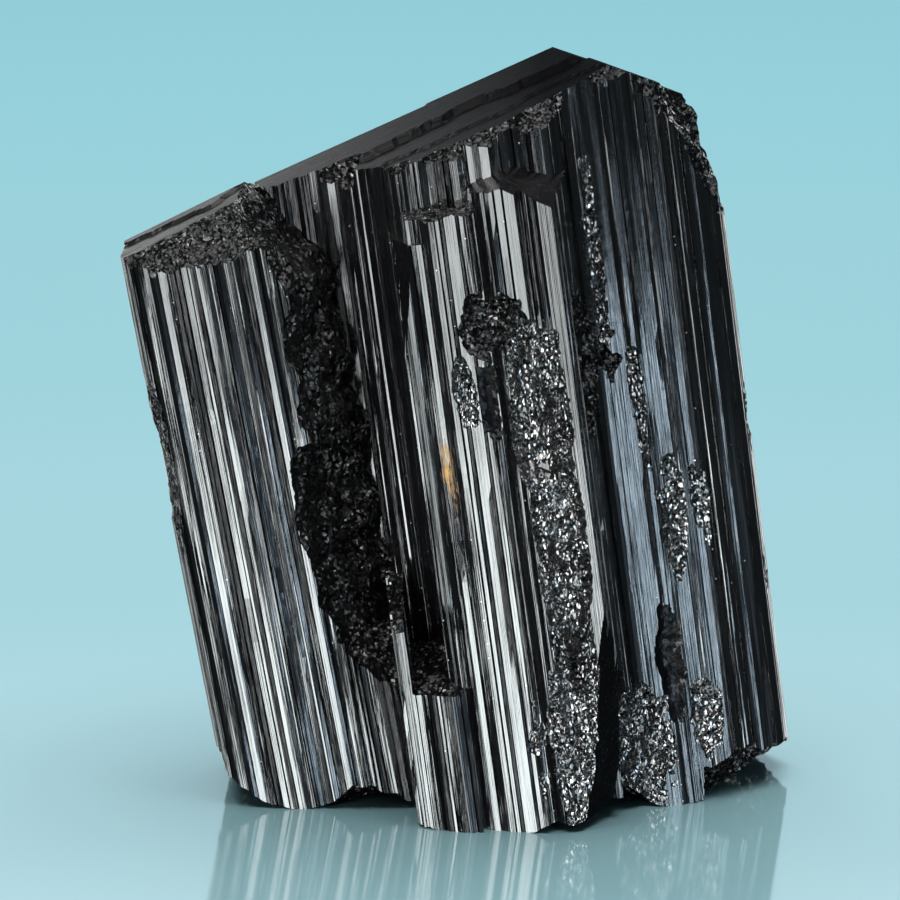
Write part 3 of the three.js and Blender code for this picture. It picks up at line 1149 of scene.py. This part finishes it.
@dataclass(frozen=True)
class BreakFinish:
    """Broken schorl: coal-like grains where it crumbled, glassy chips where it snapped, tilted all ways.

    Attributes:
        name: the material's name.
        colour: the fresh stone.
        grain: size of one grain or chip, mm.
        stretch: how much longer a chip is up the stone than across it.
        tilt: steepest slope of a chip.
        smooth: roughness of the shiniest grains.
        dull: roughness of the dullest grains.
        gloss: strength of its lustre, 0.5 for a clean glassy face.
        patch: size of the patches that are rougher or smoother, mm.
        dim: share of the lustre that the dimmest patches keep.
    """

    name: str
    colour: str
    grain: float
    stretch: float
    tilt: float
    smooth: float
    dull: float
    gloss: float
    patch: float = 1.9
    dim: float = 0.6

    def material(self) -> bpy.types.Material:
        """Makes the material of a broken surface.

        Returns:
            The material.
        """
        material, tree, shader = started(self.name)
        where = add(tree, "TexCoord").outputs["Object"]
        shorter = 1.0 / self.stretch
        place = add(tree, "Mapping", inputs={"Vector": where, "Scale": (1.0, 1.0, shorter)}).outputs[0]
        grains = add(tree, "TexVoronoi", inputs={"Vector": place, "Scale": 1.0 / (self.grain * MM)})
        offset = add(tree, "VectorMath", {"operation": "SUBTRACT"}, {
            0: place, 1: grains.outputs["Position"],
        })
        # Each grain's random colour, less a mid grey, is the slope of its facet, half as steep as it may be.
        slope = add(tree, "VectorMath", {"operation": "SUBTRACT"}, {
            0: grains.outputs["Color"], 1: (0.5, 0.5, 0.5),
        })
        facet = add(tree, "VectorMath", {"operation": "DOT_PRODUCT"}, {
            0: offset.outputs[0], 1: slope.outputs[0],
        })
        patches = add(tree, "TexNoise", inputs={
            "Vector": place, "Scale": 1.0 / (self.patch * MM), "Detail": 1.0,
        })
        uneven = add(tree, "MapRange", inputs={
            "Value": patches.outputs[0], "From Min": 0.38, "From Max": 0.62, "To Min": 0.15, "To Max": 1.1,
        })
        height = add(tree, "Math", {"operation": "MULTIPLY"}, {
            0: facet.outputs["Value"], 1: uneven.outputs[0],
        })
        rough = add(tree, "MapRange", inputs={
            "Value": grains.outputs["Color"], "From Min": 0.1, "From Max": 0.9,
            "To Min": self.smooth, "To Max": self.dull,
        })
        chips = add(tree, "Bump", inputs={
            "Height": height.outputs[0], "Strength": 1.0, "Distance": 2.0 * self.tilt,
        })
        lustre = add(tree, "MapRange", inputs={
            "Value": patches.outputs[0], "From Min": 0.4, "From Max": 0.58,
            "To Min": self.dim * self.gloss, "To Max": self.gloss,
        })
        shader.inputs["Base Color"].default_value = linear(self.colour)
        shader.inputs["IOR"].default_value = SCHORL_IOR
        tree.links.new(lustre.outputs[0], shader.inputs["Specular IOR Level"])
        tree.links.new(rough.outputs[0], shader.inputs["Roughness"])
        tree.links.new(chips.outputs[0], shader.inputs["Normal"])
        return material


FINISHES = {
    # Natural prism faces give a glassy black that the lights break into bright lines along the growth axis.
    Surface.MAIN_PRISM: PrismFinish("schorl_prism_face", MAIN_LEAN),
    Surface.LEFT_PRISM: PrismFinish("schorl_left_prism_face", LEFT_LEAN),
    # Pyramid faces give a soft satin black whose lustre fades towards the right, a painted shade on that
    # side.
    Surface.END_FACE: SmoothFinish(
        "schorl_pyramid_face", "#050506", hairline=0.5, slant=24.0, relief=0.1, smooth=0.2, dull=0.45,
        gloss=0.12, fade=0.05,
    ),
    # Crumbled breaks give a coal-like black with small, scattered glints.
    Surface.GRANULAR: BreakFinish(
        "schorl_granular_break", "#040404", grain=0.34, stretch=1.0, tilt=0.9, smooth=0.08, dull=0.34,
        gloss=0.22,
    ),
    # Snapped breaks give a dense glitter of glassy chips.
    Surface.HACKLY: BreakFinish(
        "schorl_hackly_break", "#060607", grain=0.22, stretch=2.0, tilt=1.2, smooth=0.04, dull=0.14,
        gloss=1.0,
    ),
    # Parting faces give a deep, even black with a faint sheen.
    Surface.PARTING: SmoothFinish(
        "schorl_parting_face", "#030304", hairline=0.35, slant=-35.0, relief=0.1, smooth=0.15, dull=0.3,
        gloss=0.09,
    ),
}


@functools.cache
def finish(surface: Surface) -> bpy.types.Material:
    """Makes the material of a kind of surface, once."""
    return FINISHES[surface].material()


@dataclass(frozen=True)
class Stain:
    """A rusty streak in a seam.

    Attributes:
        x: its middle, in plan mm.
        y: its middle, in plan mm.
        z: its middle, in plan mm.
        across: how far it reaches across the axis, mm.
        along: how far it reaches along the axis, mm.
        strength: how rusty its middle is.
        deep: how far it reaches into the stone, mm.
    """

    x: float
    y: float
    z: float
    across: float
    along: float
    strength: float = 0.4
    deep: float = 4.0


STAINS = (
    Stain(-0.9, 1.7, 36.4, 1.7, 8.0, 0.58),
    Stain(-0.4, 1.7, 32.4, 1.7, 7.0, 0.42),
    Stain(3.1, 1.4, 54.5, 0.7, 5.0),
    Stain(16.0, 10.0, 50.0, 0.6, 2.4),
    Stain(19.2, 11.5, 59.0, 0.6, 2.4),
    Stain(22.1, 12.0, 17.8, 0.7, 7.0),
    Stain(31.0, 17.0, 12.0, 0.7, 4.0),
    Stain(-6.4, 11.0, 12.0, 0.7, 3.0),
    Stain(9.0, 1.5, 10.0, 0.7, 3.0),
)


@dataclass
class Crystal:
    """The whole stone: its columns fused, chipped and stood on its broken base.

    Attributes:
        columns: the columns, of which the others are joined to the first.
        chips: what is chipped off once they are joined.
        foot: the broken base.
        stains: the rusty streaks.
    """

    columns: tuple[Column, ...] = (MAIN, LEFT, RIDGE, SPUR, TOE, *TOE_RIBS)
    chips: tuple[Break, ...] = CHIPS
    foot: Foot = Foot()
    stains: tuple[Stain, ...] = STAINS

    def build(self) -> bpy.types.Object:
        """Models the stone in the frame's metres and dresses it.

        Returns:
            The finished piece.
        """
        parts = [column.build() for column in self.columns]
        stone = parts[0]
        for column, part in zip(self.columns, parts):
            LOG.info("%s: %d faces", column.name, len(part.data.polygons))
        for part in parts[1:]:
            combine(stone, part, Operation.JOIN)
        for chip in self.chips:
            combine(stone, chip.tool(), Operation.CUT)
        combine(stone, self.foot.tool(), Operation.CUT)
        self._drop_crumbs(stone.data)
        stone.name = PIECE
        stone.data.name = PIECE
        self._stain(stone.data)
        stone.data.transform(Matrix.Scale(MM, 4) @ Matrix.Translation(-PLAN_CENTRE))
        stone.data.shade_flat()
        return stone

    def _drop_crumbs(self, mesh: bpy.types.Mesh) -> None:
        """Removes the crumbs that the breaks left loose, so that the stone is one body.

        Args:
            mesh: the stone.
        """
        bm = bmesh.new()
        bm.from_mesh(mesh)
        left = set(bm.verts)
        bodies: list[set[bmesh.types.BMVert]] = []
        while left:
            body, front = set(), {next(iter(left))}
            while front:
                body |= front
                front = {edge.other_vert(vert) for vert in front for edge in vert.link_edges} - body
            bodies.append(body)
            left -= body
        bodies.sort(key=len)
        bmesh.ops.delete(bm, geom=[vert for body in bodies[:-1] for vert in body], context="VERTS")
        bm.to_mesh(mesh)
        bm.free()

    def _stain(self, mesh: bpy.types.Mesh) -> None:
        """Writes how rusty each point of the stone is.

        Args:
            mesh: the stone, in plan millimetres.
        """
        lean = Matrix.Rotation(math.radians(MAIN_LEAN), 3, "Y")
        layer = mesh.attributes.new(STAIN, "FLOAT", "POINT")
        for vertex, value in zip(mesh.vertices, layer.data):
            for stain in self.stains:
                offset = lean @ (vertex.co - Vector((stain.x, stain.y, stain.z)))
                reach = math.hypot(offset.x / stain.across, offset.y / stain.deep, offset.z / stain.along)
                value.value = max(value.value, stain.strength * (1.0 - reach))


@dataclass(frozen=True)
class Softbox:
    """A soft light that stands around the stone.

    Attributes:
        name: what it is called.
        bearings: its left and right edges, degrees to the right of the camera's side.
        elevations: its lower and upper edges, degrees above the floor.
        radiance: how bright it looks.
        colour: its colour.
    """

    name: str
    bearings: tuple[float, float]
    elevations: tuple[float, float]
    radiance: float
    colour: str = "#ffffff"


SOFTBOXES = (
    Softbox("left_key", (-43, -18), (3, 15), 12.5),
    Softbox("left_high_key", (-43, -18), (15, 32), 25.0),
    Softbox("front_strip", (4, 9), (3, 32), 8.0),
    Softbox("high_key", (-50, 60), (36, 54), 6.0),
    Softbox("right_fill", (20, 80), (4, 30), 0.7, "#c4dcf2"),
    Softbox("right_key", (37, 45), (4, 30), 19.0, "#cfe2f2"),
    Softbox("left_strip", (-110, -88), (3, 30), 7.0),
    Softbox("rear_strip", (146, 164), (3, 30), 3.0),
    Softbox("rear_fill", (192, 212), (2, 24), 1.4),
)

# Radiance and colour of the backdrop's panels, which the floor reflects, from the lowest upwards.
BACKDROP = (
    (0.76, "#98efff"), (0.75, "#9cefff"), (0.74, "#a8f0ff"),
    (0.8, "#bcf0ff"), (0.94, "#d0f2ff"), (1.1, "#e0f4ff"),
)


@dataclass
class Studio:
    """A pale floor, soft lights and the camera, in metres.

    Attributes:
        distance: how far the camera stands from its target.
        elevation: how far the camera looks down, degrees.
        target: what the camera looks at.
        lens: its focal length, mm.
        sensor: its sensor's width, mm.
        floor_reach: half the floor's size.
        floor_colour: the floor's own colour.
        mirror_reach: half the mirror's size.
        mirror_drop: how far the mirror lies below the floor.
        mirror_colour: what the mirror reflects of white.
        reach: how far the softboxes stand from the stone.
        top_size: width and depth of the panels overhead.
        top_place: where they hang.
        top_radiance: how bright they look.
        backdrop_size: width and height of one panel of the backdrop.
        backdrop_place: how far behind the stone, and how high, the lowest of them is.
        room_colour: the light that comes from all around.
        room_strength: how bright that light is.
        lit: what the softboxes light.
        backed: what the backdrop lights.
    """

    distance: float = 0.45
    elevation: float = 13.0
    target: Vector = field(default_factory=lambda: (Vector((-0.7, 20.0, 34.25)) - PLAN_CENTRE) * MM)
    lens: float = 180.0
    sensor: float = 36.0
    floor_reach: float = 6.0
    floor_colour: str = "#a0cdd4"
    mirror_reach: float = 3.0
    mirror_drop: float = 0.0005
    mirror_colour: str = "#c4cecf"
    reach: float = 1.4
    top_size: tuple[float, float] = (1.1, 1.1)
    top_place: tuple[float, float, float] = (0.0, 0.1, 1.1)
    top_radiance: float = 3.9
    backdrop_size: tuple[float, float] = (0.7, 0.14)
    backdrop_place: tuple[float, float] = (2.2, 0.11)
    room_colour: str = "#c4dde2"
    room_strength: float = 0.1
    lit: bpy.types.Collection = field(default_factory=lambda: bpy.data.collections.new("softbox_light"))
    backed: bpy.types.Collection = field(default_factory=lambda: bpy.data.collections.new("backdrop_light"))

    def camera(self) -> None:
        """Sets the camera at the photograph's angle."""
        tilt = math.radians(self.elevation)
        data = bpy.data.cameras.new("camera")
        data.lens = self.lens
        data.sensor_width = self.sensor
        data.clip_start = 0.01
        data.clip_end = 20.0
        camera = bpy.data.objects.new("camera", data)
        camera.location = self.target + self.distance * Vector((0.0, -math.cos(tilt), math.sin(tilt)))
        camera.rotation_euler = (math.pi / 2 - tilt, 0.0, 0.0)
        bpy.context.collection.objects.link(camera)
        bpy.context.scene.camera = camera

    def floor(self) -> None:
        """Lays the floor: a pale sheet with a sharp, faint reflection of what stands on it."""
        bm = bmesh.new()
        bmesh.ops.create_grid(bm, x_segments=1, y_segments=1, size=self.floor_reach)
        floor = drawn("floor", bm)
        # Polished acrylic gives an even, pale colour under a clear gloss, stronger here than a real sheet's.
        material, _, shader = started("pale_acrylic_floor")
        shader.inputs["Base Color"].default_value = linear(self.floor_colour)
        shader.inputs["Roughness"].default_value = 0.08
        shader.inputs["IOR"].default_value = 2.2
        floor.data.materials.append(material)
        floor.visible_glossy = False
        self.backed.objects.link(floor)

    def mirror(self) -> None:
        """Lays a mirror sheet under the floor, in which the stone alone sees the softboxes."""
        bm = bmesh.new()
        bmesh.ops.create_grid(bm, x_segments=1, y_segments=1, size=self.mirror_reach)
        bmesh.ops.translate(bm, verts=bm.verts, vec=(0.0, 0.0, -self.mirror_drop))
        sheet = drawn("mirror", bm)
        # Mirrored acrylic gives the stone the softboxes' reflections from below, a little dimmed.
        material, _, shader = started("mirror_acrylic")
        shader.inputs["Base Color"].default_value = linear(self.mirror_colour)
        shader.inputs["Metallic"].default_value = 1.0
        shader.inputs["Roughness"].default_value = 0.03
        sheet.data.materials.append(material)
        sheet.visible_camera = sheet.visible_diffuse = sheet.visible_shadow = False
        self.lit.objects.link(sheet)

    def panel(
        self, name: str, size: tuple[float, float], radiance: float, colour: str = "#ffffff",
    ) -> bpy.types.Object:
        """Adds a soft light panel that shines down.

        Args:
            name: the panel's name.
            size: its width and height, metres.
            radiance: how bright it looks.
            colour: its colour.

        Returns:
            The panel at the origin.
        """
        data = bpy.data.lights.new(name, "AREA")
        data.shape = "RECTANGLE"
        data.size, data.size_y = size
        data.energy = radiance * math.pi * size[0] * size[1]
        data.color = linear(colour)[:3]
        panel = bpy.data.objects.new(name, data)
        panel.visible_camera = False
        bpy.context.collection.objects.link(panel)
        return panel

    def top_panels(self) -> None:
        """Hangs a panel overhead for the floor, which isn't seen in reflections, and one for the stone."""
        for name, receivers in (("floor_panel", self.backed), ("stone_panel", self.lit)):
            top = self.panel(name, self.top_size, self.top_radiance)
            top.location = self.top_place
            top.light_linking.receiver_collection = receivers
            top.visible_glossy = receivers is self.lit

    def backdrop(self) -> None:
        """Stacks the backdrop's panels far behind the stone, for the floor alone."""
        behind, low = self.backdrop_place
        for number, (radiance, colour) in enumerate(BACKDROP):
            back = self.panel(f"backdrop_{number}", self.backdrop_size, radiance, colour)
            back.location = (0.0, behind, low + self.backdrop_size[1] * number)
            back.rotation_euler = (math.pi / 2, 0.0, math.pi)
            back.light_linking.receiver_collection = self.backed

    def softbox(self, light: Softbox) -> None:
        """Stands a softbox at some way from the stone, which lights the stone and not the floor.

        Args:
            light: the softbox.
        """
        left, right = light.bearings
        low, high = (self.reach * math.tan(math.radians(elevation)) for elevation in light.elevations)
        width = 2.0 * self.reach * math.tan(math.radians(0.5 * (right - left)))
        bearing = math.radians(0.5 * (left + right))
        box = self.panel(light.name, (width, high - low), light.radiance, light.colour)
        box.location = (self.reach * math.sin(bearing), -self.reach * math.cos(bearing), 0.5 * (low + high))
        box.rotation_euler = (math.pi / 2, 0.0, bearing)
        box.light_linking.receiver_collection = self.lit

    def room(self) -> None:
        """Sets the dim light that comes from all around, and the plain view of the colours."""
        world = bpy.data.worlds.new("room")
        world.use_nodes = True
        background = world.node_tree.nodes["Background"]
        background.inputs["Color"].default_value = linear(self.room_colour)
        background.inputs["Strength"].default_value = self.room_strength
        bpy.context.scene.world = world
        bpy.context.scene.view_settings.view_transform = "Standard"

    def build(self) -> None:
        """Sets up the camera, the floor and all the lights."""
        self.camera()
        self.floor()
        self.mirror()
        self.top_panels()
        self.backdrop()
        for light in SOFTBOXES:
            self.softbox(light)
        self.room()


def main() -> None:
    """Builds the studio and the stone, and reports each piece."""
    logging.basicConfig(level=logging.INFO, format="%(message)s")
    studio = Studio()
    studio.build()
    LOG.info("studio: %d softboxes", len(SOFTBOXES))
    stone = Crystal().build()
    studio.lit.objects.link(stone)
    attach(stone, BODY)
    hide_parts(NODE)
    LOG.info("%s: %d faces", stone.name, len(stone.data.polygons))


if __name__ == "__main__":
    main()
